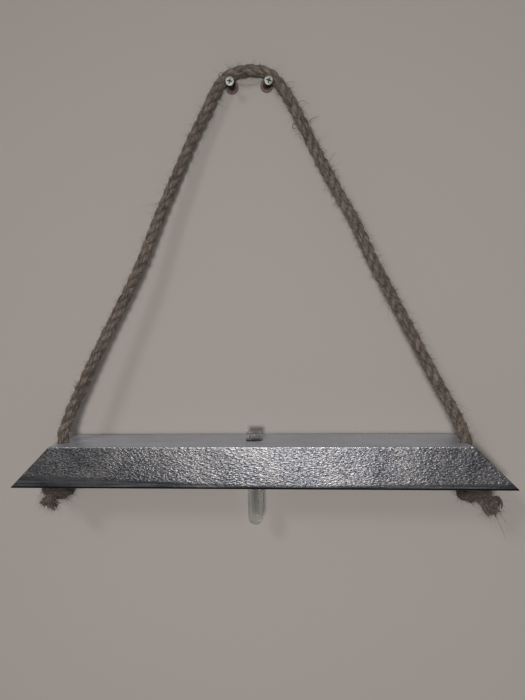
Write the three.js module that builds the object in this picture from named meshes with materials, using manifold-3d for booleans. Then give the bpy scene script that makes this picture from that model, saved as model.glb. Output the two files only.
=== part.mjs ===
// Hanging rope shelf: a mitred timber beam on one jute rope that hangs over two wall screws,
// with a glass test tube standing in the beam. Millimetres, +Z up, +Y into the wall.
// The origin is on the wall's face, midway between the two screws.

import * as THREE from "three";
import { mergeVertices, toCreasedNormals } from "three/addons/utils/BufferGeometryUtils.js";
import Module from "manifold-3d";

const wasm = await Module();
wasm.setup();

// General values
const seatGap = 0.3;
const overrun = 2;
const roundSides = 48;
const smallRoundSides = 24;
const tubeSides = 32;
const bowlSteps = 8;
const beadSteps = 4;
const creaseAngle = THREE.MathUtils.degToRad(30);

// Beam: sawn timber, long edge at the bottom, ends mitred
const beamLength = 500;
const beamDepth = 70;
const beamHeight = 42;
const mitreAngle = THREE.MathUtils.degToRad(45);
const beamArris = 0.8;
const beamTopDrop = 380;
const beamCentreOffset = 5.5;

// Rope holes: their centres, from the wall and from the ends of the beam's top
const ropeHoleDiameter = 13;
const ropeHoleFromWall = 46;
const leftHoleInset = 4;
const rightHoleInset = 0.5;

// Test tube: a screw-neck tube that hangs on the eased rim of its hole by the lowest ridge
const tubeDiameter = 16;
const tubeWall = 1.2;
const tubeLength = 97;
const tubeHoleClearance = 0.4;
const tubeHoleEase = 0.7;
const tubeOffset = 3.4;
const tubeFromWall = 35;
const ridgeReach = 0.9;
const ridgeHeight = 1;
const ridgePitch = 1.6;
const ridgeCount = 3;
const neckAboveRidges = 2.4;
const lipReach = 0.9;
const lipHeight = 2;

// Screws: countersunk, with a cross recess
const screwSpacing = 38;
const screwLength = 50;
const screwHeadProud = 20;
const screwHeadDiameter = 10;
const screwHeadRim = 0.6;
const countersinkAngle = THREE.MathUtils.degToRad(90);
const screwShankDiameter = 3.8;
const screwThreadDiameter = 5;
const screwPlainLength = 18;
const screwPointLength = 6;
const recessSpan = 5.4;
const recessFloorSpan = 1.9;
const recessWidth = 1.3;
const recessDepth = 2.6;

// Wall plugs: a collar proud of the wall and a ribbed body split at its far end
const plugCollarDiameter = 14;
const plugProud = 2;
const plugCollarRound = 0.8;
const plugBodyDiameter = 8.6;
const plugRibReach = 0.7;
const plugRibCount = 5;
const plugRibPitch = 5;
const plugFirstRib = 6;
const plugInWall = 36;
const plugTaper = 5;
const plugBoreClearance = 0.3;
const plugSplitWidth = 1.4;
const plugSplitLength = 20;

// How the screws have settled under the load: down, and the right one sideways
const leftScrewDroop = THREE.MathUtils.degToRad(6);
const rightScrewDroop = THREE.MathUtils.degToRad(10);
const rightScrewLean = THREE.MathUtils.degToRad(10);

// Rope
const ropeDiameter = 12;
const knotRopeDiameter = 9;
const ropeSides = 12;
const runStepsPerPoint = 2;
const knotStepsPerPoint = 2;
const gapSamples = 240;
const strandDiameter = 4.6;
const strandSides = 8;
const strandStepsPerPoint = 2;

// Finishes
const finishes = {
  beamPaint: { color: 0x6d7075, roughness: 0.45, metalness: 0.6 },
  jute: { color: 0x6f6257, roughness: 0.95, metalness: 0 },
  glass: { color: 0xdfe6e6, roughness: 0.05, metalness: 0, transparent: true, opacity: 0.35 },
  zinc: { color: 0xb9bbb4, roughness: 0.35, metalness: 0.9 },
  brownPlastic: { color: 0x7a5a4c, roughness: 0.6, metalness: 0 },
};

// Worked-out places of the beam
const beamBottom = -beamTopDrop - beamHeight;
const beamMitreRun = beamHeight / Math.tan(mitreAngle);
const beamTopHalf = beamLength / 2 - beamMitreRun;
const ropeHoleY = -ropeHoleFromWall;
const leftHoleX = beamCentreOffset - beamTopHalf + leftHoleInset;
const rightHoleX = beamCentreOffset + beamTopHalf - rightHoleInset;
const tubeX = beamCentreOffset - tubeOffset;
const tubeHoleRadius = tubeDiameter / 2 + tubeHoleClearance;

// Route of the rope from hole to hole, chosen by hand: up out of the left hole, straight to the
// screws, in a stiff arch over both shanks, and straight down into the right hole
const ropeRunRoute = [
  [-198.5, -46, -421.8],
  [-198.5, -46, -400],
  [-198.5, -46, -386],
  [-198.5, -46, -379],
  [-198.2, -45.6, -371.5],
  [-194.2, -44, -358],
  [-175.6, -39.8, -315],
  [-155, -35.6, -272],
  [-134.5, -31.6, -231.4],
  [-114.6, -27.5, -189],
  [-98.2, -23.3, -146.3],
  [-80, -19.1, -103.3],
  [-61.2, -15, -60.2],
  [-44.5, -12.3, -27],
  [-38.7, -11.4, -14],
  [-33.3, -10.8, -4.9],
  [-28.6, -10.5, 1.4],
  [-23.8, -10.5, 5.8],
  [-18, -10.5, 9],
  [-11.2, -10.5, 11.2],
  [-3, -10.5, 12.4],
  [6, -10.5, 12.4],
  [13.2, -10.5, 11.2],
  [19.6, -10.5, 8.8],
  [25.4, -10.5, 5],
  [30.4, -10.5, -0.2],
  [35.1, -10.8, -6.6],
  [42.6, -11.7, -19],
  [52.3, -13.6, -38.5],
  [75.3, -18.4, -88.7],
  [97.2, -22.5, -132.3],
  [108.4, -24.5, -153.8],
  [126.6, -28.6, -196.2],
  [156.6, -34.5, -258.5],
  [185.8, -40.2, -319.2],
  [205.4, -44, -358],
  [210.8, -45.5, -371.5],
  [212.8, -46, -379],
  [213, -46, -386],
  [213, -46, -400],
  [213, -46, -421.8],
];

// Route of each overhand knot, chosen by hand, from the middle of its hole at the beam's underside.
// X runs towards the near end of the beam. Down and out under the beam, round the wall side and back
// round the room side, round the rope where it comes down, then through under the loop
const knotRoute = [
  [0, 0, -0.2],
  [0, 0, -4.7],
  [0, 0, -9],
  [2.5, 2.4, -13.9],
  [7.8, 6, -15.4],
  [14.2, 6.4, -14.2],
  [19.1, 3.3, -11.2],
  [20.2, -2.2, -7.5],
  [16.7, -7.5, -5.4],
  [10.7, -10, -4.9],
  [3.8, -10.2, -5.4],
  [-3.1, -9.3, -5.8],
  [-8.4, -4.9, -6],
  [-9.5, 2, -5.9],
  [-5.6, 7.8, -5.6],
  [1, 9.6, -5.1],
  [6.8, 6.8, -5.1],
  [9.8, 1.6, -6.8],
  [11, -2.4, -11.2],
];

// Where each knot's rope comes out under its loop, chosen by hand. The route ends there
const knotEnds = {
  left: [12.5, -5, -15.5],
  right: [15, -5, -16],
};

// Routes of the three strands of each frayed end, chosen by hand, from the last point of the knot.
// Each strand sets out in line with the rope, then goes its own way
const frayedRoutes = {
  left: [
    [
      [1.9, 0, 0.66],
      [2.5, -1, -1],
      [4.6, -1.6, -2.2],
      [7.2, -1.6, -2.8],
      [9.2, -1.4, -3.9],
    ],
    [
      [-0.3, 1.8, -1.19],
      [0.3, 0.8, -2.83],
      [0.2, 0.6, -5.6],
      [-0.5, 0.8, -9],
      [-1.2, 0.6, -12],
    ],
    [
      [-1.8, -0.9, -0.08],
      [-1.2, -1.9, -1.72],
      [-2.9, -2.6, -3.6],
      [-5.9, -2.8, -5.6],
      [-9.2, -2.8, -7.5],
    ],
  ],
  right: [
    [
      [1.6, -0.2, 1.44],
      [2.8, -1, 0],
      [5, -2, -0.7],
      [7.8, -3, 1.2],
      [10.6, -3.2, 3.9],
      [13.6, -3.1, 4.1],
      [15.3, -2.9, 1.6],
      [15.2, -2.6, -2.2],
    ],
    [
      [-0.3, 1.75, -1.2],
      [0.9, 1, -2.6],
      [3, 0.8, -5.4],
      [5.2, 0.8, -8.6],
      [7.4, 0.8, -11.8],
      [9.4, 0.6, -14.4],
    ],
    [
      [-1.5, -1.5, -0.44],
      [-0.3, -2.3, -1.9],
      [0.4, -2.9, -4.8],
      [0.2, -3.1, -8.2],
      [-0.6, -3.2, -11.6],
    ],
  ],
};

// Makes a closed solid of a geometry, from its places alone
function solidOf(geometry) {
  const bare = geometry.clone();
  bare.deleteAttribute("normal");
  bare.deleteAttribute("uv");
  const merged = mergeVertices(bare);
  const mesh = new wasm.Mesh({
    numProp: 3,
    vertProperties: new Float32Array(merged.attributes.position.array),
    triVerts: new Uint32Array(merged.index.array),
  });
  return new wasm.Manifold(mesh);
}

// Makes a geometry of a closed solid
function geometryOf(solid) {
  const mesh = solid.getMesh();
  const geometry = new THREE.BufferGeometry();
  geometry.setAttribute("position", new THREE.BufferAttribute(mesh.vertProperties, 3));
  geometry.setIndex(new THREE.BufferAttribute(mesh.triVerts, 1));
  return toCreasedNormals(geometry, creaseAngle);
}

// Cuts each of the other geometries from the first
function cut(geometry, cutters) {
  let solid = solidOf(geometry);
  for (const cutter of cutters) {
    solid = solid.subtract(solidOf(cutter));
  }
  return geometryOf(solid);
}

// A round bar that stands upright at a place in plan, and may widen to its top
function uprightBar(x, y, radius, bottom, top, topRadius = radius) {
  const bar = new THREE.CylinderGeometry(topRadius, radius, top - bottom, roundSides);
  bar.rotateX(Math.PI / 2);
  bar.translate(x, y, (bottom + top) / 2);
  return bar;
}

// Beam: the mitred outline run from front to back with worn arrises, then bored through, with the
// rim of the tube's hole eased at 45 degrees
function beamGeometry() {
  const outline = new THREE.Shape([
    new THREE.Vector2(-beamLength / 2, 0),
    new THREE.Vector2(beamLength / 2, 0),
    new THREE.Vector2(beamTopHalf, beamHeight),
    new THREE.Vector2(-beamTopHalf, beamHeight),
  ]);
  const timber = new THREE.ExtrudeGeometry(outline, {
    depth: beamDepth - 2 * beamArris,
    bevelThickness: beamArris,
    bevelSize: beamArris,
    bevelOffset: -beamArris,
    bevelSegments: 2,
  });
  timber.rotateX(Math.PI / 2);
  timber.translate(beamCentreOffset, -beamArris, beamBottom);
  const low = beamBottom - overrun;
  const high = -beamTopDrop + overrun;
  const ropeHoleRadius = ropeHoleDiameter / 2;
  const rimBottom = -beamTopDrop - tubeHoleEase;
  return cut(timber, [
    uprightBar(tubeX, -tubeFromWall, tubeHoleRadius, low, high),
    uprightBar(tubeX, -tubeFromWall, tubeHoleRadius, rimBottom, high, tubeHoleRadius + high - rimBottom),
    uprightBar(leftHoleX, ropeHoleY, ropeHoleRadius, low, high),
    uprightBar(rightHoleX, ropeHoleY, ropeHoleRadius, low, high),
  ]);
}

// A quarter or half round in a lathe profile, from one angle to another
function profileArc(centre, radiusOut, radiusUp, from, to, steps) {
  const points = [];
  for (let step = 0; step <= steps; step += 1) {
    const angle = from + ((to - from) * step) / steps;
    const out = centre.x + radiusOut * Math.cos(angle);
    points.push(new THREE.Vector2(Math.max(out, 0), centre.y + radiusUp * Math.sin(angle)));
  }
  return points;
}

// Test tube: one turned profile, up the outside over ridges and lip, and down the inside
function tubeGeometry() {
  const outer = tubeDiameter / 2;
  const inner = outer - tubeWall;
  const lipBottom = tubeLength - lipHeight;
  const lowestRidge = lipBottom - neckAboveRidges - ridgeHeight - ridgePitch * (ridgeCount - 1);
  const profile = profileArc(new THREE.Vector2(0, outer), outer, outer, -Math.PI / 2, 0, bowlSteps);
  for (let ridge = 0; ridge < ridgeCount; ridge += 1) {
    const middle = new THREE.Vector2(outer, lowestRidge + ridgePitch * ridge + ridgeHeight / 2);
    profile.push(...profileArc(middle, ridgeReach, ridgeHeight / 2, -Math.PI / 2, Math.PI / 2, beadSteps));
  }
  const lipMiddle = new THREE.Vector2(outer, tubeLength - lipHeight / 2);
  profile.push(...profileArc(lipMiddle, lipReach, lipHeight / 2, -Math.PI / 2, Math.PI / 2, beadSteps));
  const rimMiddle = new THREE.Vector2(outer, tubeLength - tubeWall);
  profile.push(...profileArc(rimMiddle, tubeWall, tubeWall, Math.PI / 2, Math.PI, beadSteps).slice(1));
  profile.push(...profileArc(new THREE.Vector2(0, outer), inner, inner, 0, -Math.PI / 2, bowlSteps));
  const tube = new THREE.LatheGeometry(profile, tubeSides);
  tube.rotateX(Math.PI / 2);
  return tube;
}

// Screw, its axis along Y with the head towards the room: a turned body with a cross recess
function screwGeometry() {
  const headRadius = screwHeadDiameter / 2;
  const shankRadius = screwShankDiameter / 2;
  const threadRadius = screwThreadDiameter / 2;
  const face = -screwHeadProud;
  const coneEnd = face + screwHeadRim + (headRadius - shankRadius) / Math.tan(countersinkAngle / 2);
  const tip = face + screwLength;
  const body = new THREE.LatheGeometry([
    new THREE.Vector2(0, face),
    new THREE.Vector2(headRadius, face),
    new THREE.Vector2(headRadius, face + screwHeadRim),
    new THREE.Vector2(shankRadius, coneEnd),
    new THREE.Vector2(shankRadius, face + screwPlainLength),
    new THREE.Vector2(threadRadius, face + screwPlainLength + threadRadius - shankRadius),
    new THREE.Vector2(threadRadius, tip - screwPointLength),
    new THREE.Vector2(0, tip),
  ], smallRoundSides);
  return cut(body, [recessArm(0), recessArm(Math.PI / 2)]);
}

// One arm of the cross recess: a slot that narrows towards its floor
function recessArm(turn) {
  const sideSlope = (recessSpan - recessFloorSpan) / 2 / recessDepth;
  const halfMouth = recessSpan / 2 + overrun * sideSlope;
  const outline = new THREE.Shape([
    new THREE.Vector2(-halfMouth, -overrun),
    new THREE.Vector2(halfMouth, -overrun),
    new THREE.Vector2(recessFloorSpan / 2, recessDepth),
    new THREE.Vector2(-recessFloorSpan / 2, recessDepth),
  ]);
  const arm = new THREE.ExtrudeGeometry(outline, { depth: recessWidth, bevelEnabled: false });
  arm.translate(0, -screwHeadProud, -recessWidth / 2);
  arm.rotateY(turn);
  return arm;
}

// Wall plug, its axis along Y: a turned, bored and ribbed body, split across its far end
function plugGeometry() {
  const collar = plugCollarDiameter / 2;
  const body = plugBodyDiameter / 2;
  const bore = screwThreadDiameter / 2 + plugBoreClearance;
  const profile = [
    new THREE.Vector2(bore, -plugProud),
    new THREE.Vector2(collar - plugCollarRound, -plugProud),
    new THREE.Vector2(collar, plugCollarRound - plugProud),
    new THREE.Vector2(collar, 0),
    new THREE.Vector2(body, 0),
  ];
  for (let rib = 0; rib < plugRibCount; rib += 1) {
    const start = plugFirstRib + plugRibPitch * rib;
    profile.push(new THREE.Vector2(body, start));
    profile.push(new THREE.Vector2(body + plugRibReach, start + plugRibReach));
    profile.push(new THREE.Vector2(body, start + plugRibPitch / 2));
  }
  profile.push(new THREE.Vector2(body, plugInWall - plugTaper));
  profile.push(new THREE.Vector2((body + bore) / 2, plugInWall));
  profile.push(new THREE.Vector2(bore, plugInWall));
  profile.push(profile[0].clone());
  const turned = new THREE.LatheGeometry(profile, smallRoundSides);
  const split = new THREE.BoxGeometry(plugCollarDiameter, plugSplitLength + overrun, plugSplitWidth);
  split.translate(0, plugInWall + overrun - (plugSplitLength + overrun) / 2, 0);
  return cut(turned, [split]);
}

// A route whose steps are spread by its points, so that short bends get as many as long straights
class PacedRoute extends THREE.CatmullRomCurve3 {
  getPointAt(share, target) {
    return this.getPoint(share, target);
  }

  getTangentAt(share, target) {
    return this.getTangent(share, target);
  }
}

// A round section with flat sides
function roundSection(diameter, sides) {
  const points = [];
  for (let side = 0; side < sides; side += 1) {
    const angle = (2 * Math.PI * side) / sides;
    points.push(new THREE.Vector2((diameter / 2) * Math.cos(angle), (diameter / 2) * Math.sin(angle)));
  }
  return new THREE.Shape(points);
}

// A tube of one diameter along a route
function tubeAlong(points, diameter, sides, stepsPerPoint) {
  const route = new PacedRoute(points);
  return new THREE.ExtrudeGeometry(roundSection(diameter, sides), {
    steps: (points.length - 1) * stepsPerPoint,
    bevelEnabled: false,
    extrudePath: route,
  });
}

// Turns a list of triples into vectors, with X turned to one side of the beam
function vectorsOf(list, outward = 1) {
  return list.map(([x, y, z]) => new THREE.Vector3(x * outward, y, z));
}

// The least gap of a tube to itself, between places further apart along it than half round a bend
function leastGap(points, diameter) {
  const route = new PacedRoute(points);
  const places = route.getSpacedPoints(gapSamples);
  const run = [0];
  for (let i = 1; i < places.length; i += 1) {
    run.push(run[i - 1] + places[i].distanceTo(places[i - 1]));
  }
  let least = Infinity;
  for (let i = 0; i < places.length; i += 1) {
    for (let j = i + 1; j < places.length; j += 1) {
      if (run[j] - run[i] > (Math.PI / 2) * diameter) {
        least = Math.min(least, places[i].distanceTo(places[j]) - diameter);
      }
    }
  }
  return least;
}

// The three strands of a frayed end, joined where they leave the rope
function frayedEndGeometry(strands, knotPoints, outward) {
  const [before, end] = knotPoints.slice(-2);
  const start = end.clone().add(end.clone().sub(before).setLength(seatGap));
  let bundle = null;
  for (const strand of strands) {
    const points = vectorsOf(strand, outward).map((place) => place.add(start));
    const solid = solidOf(tubeAlong(points, strandDiameter, strandSides, strandStepsPerPoint));
    bundle = bundle ? bundle.add(solid) : solid;
  }
  return geometryOf(bundle);
}

// Adds one named piece
function addPiece(parent, name, geometry, finish) {
  const piece = new THREE.Mesh(geometry, new THREE.MeshStandardMaterial(finish));
  piece.name = name;
  parent.add(piece);
  return piece;
}

// A place in the middle of a rope hole, at the beam's underside
function underHole(x) {
  const place = new THREE.Group();
  place.position.set(x, ropeHoleY, beamBottom);
  return place;
}

// A place on the wall for one screw and its plug, turned as the screw has settled
function wallPlace(x, droop, lean) {
  const place = new THREE.Group();
  place.position.x = x;
  place.rotation.set(droop, 0, lean);
  return place;
}

const shelf = new THREE.Group();

addPiece(shelf, "shelf_beam", beamGeometry(), finishes.beamPaint);

// The tube is set down until its lowest ridge, half an ellipse in section, is the seat gap away from
// the rim's 45 degree slope
const tube = addPiece(shelf, "test_tube", tubeGeometry(), finishes.glass);
const ridgeToSlope = Math.hypot(ridgeReach, ridgeHeight / 2) + seatGap * Math.SQRT2;
const ridgeMiddleUp = tubeDiameter / 2 + ridgeToSlope - tubeHoleRadius - tubeHoleEase;
const lipAboveRidge = lipHeight + neckAboveRidges + ridgeHeight / 2 + ridgePitch * (ridgeCount - 1);
const tubeAboveBeam = ridgeMiddleUp + lipAboveRidge;
tube.position.set(tubeX, -tubeFromWall, -beamTopDrop + tubeAboveBeam - tubeLength);

const ropeRun = tubeAlong(vectorsOf(ropeRunRoute), ropeDiameter, ropeSides, runStepsPerPoint);
addPiece(shelf, "rope_hanger", ropeRun, finishes.jute);

for (const [side, outward, holeX] of [["left", -1, leftHoleX], ["right", 1, rightHoleX]]) {
  const place = underHole(holeX);
  const knotPoints = vectorsOf([...knotRoute, knotEnds[side]], outward);
  const knot = tubeAlong(knotPoints, knotRopeDiameter, ropeSides, knotStepsPerPoint);
  addPiece(place, "knot_" + side, knot, finishes.jute);
  const frayedEnd = frayedEndGeometry(frayedRoutes[side], knotPoints, outward);
  addPiece(place, "frayed_end_" + side, frayedEnd, finishes.jute);
  shelf.add(place);
  console.log(side + " knot, least gap to itself, mm:", leastGap(knotPoints, knotRopeDiameter).toFixed(2));
}

const wallPlaces = {
  left: wallPlace(-screwSpacing / 2, leftScrewDroop, 0),
  right: wallPlace(screwSpacing / 2, rightScrewDroop, rightScrewLean),
};
for (const [side, place] of Object.entries(wallPlaces)) {
  addPiece(place, "screw_" + side, screwGeometry(), finishes.zinc);
  addPiece(place, "wall_plug_" + side, plugGeometry(), finishes.brownPlastic);
  shelf.add(place);
}

export default shelf;
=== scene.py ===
"""Hanging rope shelf: a painted timber beam on one jute rope over two wall screws, with a glass tube.

Lengths are metres. The origin is on the wall's face, midway between the screws, +Z up and +Y into the wall.
"""

import itertools
import math

import bpy
import numpy as np
from mathutils import Matrix, Vector


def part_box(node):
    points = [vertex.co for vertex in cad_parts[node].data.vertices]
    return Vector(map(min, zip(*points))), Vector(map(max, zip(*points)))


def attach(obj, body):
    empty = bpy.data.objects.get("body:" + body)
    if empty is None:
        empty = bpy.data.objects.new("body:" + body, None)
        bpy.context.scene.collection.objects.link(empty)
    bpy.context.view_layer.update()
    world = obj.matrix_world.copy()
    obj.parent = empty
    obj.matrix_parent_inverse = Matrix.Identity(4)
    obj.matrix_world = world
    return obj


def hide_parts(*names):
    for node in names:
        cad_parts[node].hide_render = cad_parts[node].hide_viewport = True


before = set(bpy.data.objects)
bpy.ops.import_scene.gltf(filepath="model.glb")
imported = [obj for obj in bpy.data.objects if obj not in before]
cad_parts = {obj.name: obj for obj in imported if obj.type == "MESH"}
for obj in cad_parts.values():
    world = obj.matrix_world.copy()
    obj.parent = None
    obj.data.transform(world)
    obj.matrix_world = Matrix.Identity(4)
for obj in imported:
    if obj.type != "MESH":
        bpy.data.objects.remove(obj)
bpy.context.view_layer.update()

bl_info = {
    "name": "Hanging rope shelf",
    "version": (1, 0, 0),
    "blender": (4, 5, 0),
    "location": "3D View > Sidebar > Rope shelf",
    "description": "A mitred timber beam on a knotted jute rope, with a glass test tube",
    "category": "Object",
}

MM = 0.001
BEAM_LOW, BEAM_HIGH = (np.array(corner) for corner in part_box("shelf_beam"))
TUBE_LOW, TUBE_HIGH = (np.array(corner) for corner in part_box("test_tube"))
BEAM_CENTRE_X = float(BEAM_LOW[0] + BEAM_HIGH[0]) / 2
LEFT_HOLE = np.array([-198.5, -46.0, -422.0]) * MM
RIGHT_HOLE = np.array([213.0, -46.0, -422.0]) * MM
TUBE_AXIS = (TUBE_LOW[:2] + TUBE_HIGH[:2]) / 2
# The beam's holes, and how far the rim of the tube's hole is eased
ROPE_HOLE_RADIUS, TUBE_HOLE_RADIUS, TUBE_HOLE_EASE = 0.0065, 0.0084, 0.0007
# How far each screw is from the middle, and where the face of its head lies before it is turned
SCREW_X, SCREW_FACE = 0.019, -0.020


def screen_colour(red, green, blue):
    """The light of a colour that is written as screen values from 0 to 255."""
    share = np.array([red, green, blue]) / 255.0
    light = np.where(share <= 0.04045, share / 12.92, ((share + 0.055) / 1.055) ** 2.4)
    return tuple(float(value) for value in light)


# Sizes and colours that a user would change


def length_setting(name, description, default):
    """A size in metres."""
    return bpy.props.FloatProperty(name=name, description=description, default=default, unit="LENGTH")


def count_setting(name, description, default):
    """A number of like things."""
    return bpy.props.IntProperty(name=name, description=description, default=default)


def power_setting(name, description, default):
    """A lamp's power in watts."""
    return bpy.props.FloatProperty(name=name, description=description, default=default, unit="POWER")


def colour_setting(name, description, *screen_values):
    """A colour, given by its screen values from 0 to 255."""
    light = screen_colour(*screen_values)
    return bpy.props.FloatVectorProperty(name=name, description=description, default=light, subtype="COLOR")


class RopeSettings(bpy.types.PropertyGroup):
    """Sizes and colours of the rope."""

    diameter: length_setting("Diameter", "Across the three strands", 0.012)
    pitch: length_setting("Pitch", "Length of one turn of a strand", 0.038)
    squeeze: bpy.props.FloatProperty(
        name="Knot squeeze",
        description="Thickness in the tight knots as a share",
        default=0.81,
        subtype="FACTOR",
    )
    yarns: count_setting("Yarns", "Yarns seen round one strand", 7)
    ring_step: length_setting("Ring step", "Distance between rings of points along the rope", 0.00135)
    hairs: count_setting("Hairs", "Short stray fibres along the rope", 5600)
    fuzz: count_setting("Fuzz", "Short curled fibre ends along the rope", 9000)
    light_fibre: colour_setting("Light fibre", "The palest jute", 124, 112, 102)
    dark_fibre: colour_setting("Dark fibre", "The darkest jute", 48, 41, 35)
    pale_hair: colour_setting("Pale hair", "Fine bleached hairs", 190, 180, 168)


class BeamSettings(bpy.types.PropertyGroup):
    """Sizes and colours of the beam."""

    arris: length_setting("Arris", "Rounding of the edges", 0.0009)
    worn_arris: length_setting("Worn arris", "Rounding of the front's bottom edge", 0.0016)
    relief: length_setting("Relief", "Height of the paint's wrinkles on the front", 0.00013)
    grid: length_setting("Grid", "Distance between points along the beam", 0.00115)
    paint: colour_setting("Paint", "Metallic grey paint", 123, 119, 118)
    # Painted shade: the colour put into the paint's hollows, darker because shade falls there
    shaded_hollow_paint: colour_setting("Paint hollows", "Paint in the hollows", 54, 58, 66)
    # Painted light: the top is painted paler than the front, as the light and sheen it catches
    lit_top_paint: colour_setting("Top", "Smoother paint on the top", 202, 206, 217)
    # Painted highlight: the pale colour of the top front arris, where its rounded edge catches the light
    edge_highlight_paint: colour_setting("Worn edge", "Rubbed top edge", 172, 174, 179)
    # Painted shade: the bottom front arris is painted near black, as it faces down into shade
    bottom_arris_shade: colour_setting("Underside", "Thin dark paint underneath", 18, 19, 23)


class TubeSettings(bpy.types.PropertyGroup):
    """Sizes and colour of the test tube."""

    diameter: length_setting("Diameter", "Outside", 0.016)
    wall: length_setting("Wall", "Thickness of the glass", 0.0012)
    thread_pitch: length_setting("Thread pitch", "Rise of the neck's thread in one turn", 0.0016)
    glass: colour_setting("Glass", "Tint of the glass", 246, 248, 247)


class FixingSettings(bpy.types.PropertyGroup):
    """Sizes and colours of the screws and wall plugs."""

    thread_pitch: length_setting("Thread pitch", "Rise of the screw thread in one turn", 0.0024)
    zinc: colour_setting("Zinc", "Bright plated steel", 172, 172, 165)
    plastic: colour_setting("Plastic", "Brown plug plastic", 90, 70, 60)


class StageSettings(bpy.types.PropertyGroup):
    """The wall, floor, lamps and camera."""

    wall: colour_setting("Wall", "Painted wall behind the shelf", 159, 152, 146)
    floor: colour_setting("Floor", "Plain floor far below", 196, 194, 192)
    key_power: power_setting("Key lamp", "Soft lamp from the upper left", 13.0)
    front_power: power_setting("Front lamp", "Lamp behind the camera", 9.6)
    sky: bpy.props.FloatProperty(name="Surround", description="Light from all round", default=0.18)


# Arithmetic on points


def unit(vectors):
    """Each vector divided by its length."""
    return vectors / np.linalg.norm(vectors, axis=-1, keepdims=True)


def smooth_route(points, step):
    """A centripetal Catmull-Rom curve through the points, laid out again at equal steps of its own length."""
    ends = np.vstack([2 * points[0] - points[1], points, 2 * points[-1] - points[-2]])
    span = np.sqrt(np.linalg.norm(np.diff(ends, axis=0), axis=1))[:, None]
    before, here, after = span[:-2], span[1:-1], span[2:]
    p0, p1, p2, p3 = ends[:-3], ends[1:-2], ends[2:-1], ends[3:]
    leave = ((p1 - p0) / before - (p2 - p0) / (before + here) + (p2 - p1) / here) * here
    arrive = ((p2 - p1) / here - (p3 - p1) / (here + after) + (p3 - p2) / after) * here
    t = np.linspace(0, 1, 64, endpoint=False)[None, :, None]
    square = -3 * p1 + 3 * p2 - 2 * leave - arrive
    cube = 2 * p1 - 2 * p2 + leave + arrive
    curve = p1[:, None] + leave[:, None] * t + square[:, None] * t**2 + cube[:, None] * t**3
    curve = np.vstack([curve.reshape(-1, 3), points[-1:]])
    travelled = np.concatenate([[0], np.cumsum(np.linalg.norm(np.diff(curve, axis=0), axis=1))])
    stations = np.linspace(0, travelled[-1], max(int(round(travelled[-1] / step)), 4) + 1)
    return np.stack([np.interp(stations, travelled, curve[:, axis]) for axis in range(3)], axis=1), stations


def steady_frames(route):
    """Tangents and two cross directions that turn about the route as little as possible.

    A guide direction far from every tangent gives a first pair. The turn of that pair from each station to
    the next is added up and taken off again.
    """
    tangents = unit(np.gradient(route, axis=0))
    count, golden_turn = 400, 2.39996
    number = np.arange(count)
    height = (number + 0.5) / count
    ring = np.sqrt(1 - height**2)
    angle = golden_turn * number
    guides = np.stack([ring * np.cos(angle), ring * np.sin(angle), height], axis=1)
    guide = guides[np.abs(tangents @ guides.T).max(axis=0).argmin()]
    first = unit(guide - (tangents @ guide)[:, None] * tangents)
    second = np.cross(tangents, first)
    turn = np.arctan2((first[1:] * second[:-1]).sum(axis=1), (first[1:] * first[:-1]).sum(axis=1))
    back = -np.concatenate([[0], np.cumsum(turn)])[:, None]
    steady = np.cos(back) * first + np.sin(back) * second
    return tangents, steady, np.cross(tangents, steady)


def smooth_step(value):
    """0 below 0, 1 above 1, and an even S between them."""
    t = np.clip(value, 0, 1)
    return t * t * (3 - 2 * t)


def lattice_noise(points, size, seed):
    """Smooth values from -1 to 1: random numbers at the corners of cubes of one size, blended inside them."""
    cell = points / size
    base = np.floor(cell).astype(np.int64)
    part = smooth_step(cell - base)
    total = np.zeros(points.shape[:-1])
    for corner in np.ndindex(2, 2, 2):
        near = (base + np.array(corner)).astype(np.uint64)
        mix = near[..., 0] * np.uint64(0x9E3779B97F4A7C15) + near[..., 1] * np.uint64(0xC2B2AE3D27D4EB4F)
        mix = mix + near[..., 2] * np.uint64(0x165667B19E3779F9) + np.uint64(seed * 7919 + 13)
        mix = (mix ^ (mix >> np.uint64(29))) * np.uint64(0xBF58476D1CE4E5B9)
        mix = (mix ^ (mix >> np.uint64(32))) * np.uint64(0x94D049BB133111EB)
        value = (mix >> np.uint64(40)).astype(float) / 2.0**23 - 1
        share = np.where(np.array(corner) == 1, part, 1 - part).prod(axis=-1)
        total += value * share
    return total


# Meshes from arrays


def ring_faces(rings, columns, first=0):
    """Quads between neighbouring rings of points, each ring closed on itself."""
    ring, column = np.meshgrid(np.arange(rings - 1), np.arange(columns), indexing="ij")
    low, after = ring * columns, (column + 1) % columns
    quads = np.stack([low + column, low + after, low + columns + after, low + columns + column], axis=-1)
    return first + quads.reshape(-1, 4)


def fan_faces(pole, ring_start, columns, ends):
    """Triangles from a pole to a ring, facing backwards, or forwards where the pole ends the piece."""
    column = np.arange(columns)
    here, after = ring_start + column, ring_start + (column + 1) % columns
    pair = [here, after] if ends else [after, here]
    return np.stack([np.full(columns, pole), *pair], axis=-1)


def ring_uv(rings, columns, along, turns=1.0):
    """Corner by corner, how far round and how far along each quad of ring_faces lies."""
    ring, column = np.meshgrid(np.arange(rings - 1), np.arange(columns), indexing="ij")
    left, right = column / columns * turns, (column + 1) / columns * turns
    low, high = along[ring], along[ring + 1]
    corners = [np.stack(pair, axis=-1) for pair in ((left, low), (right, low), (right, high), (left, high))]
    return np.stack(corners, axis=-2).reshape(-1, 4, 2)


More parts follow.
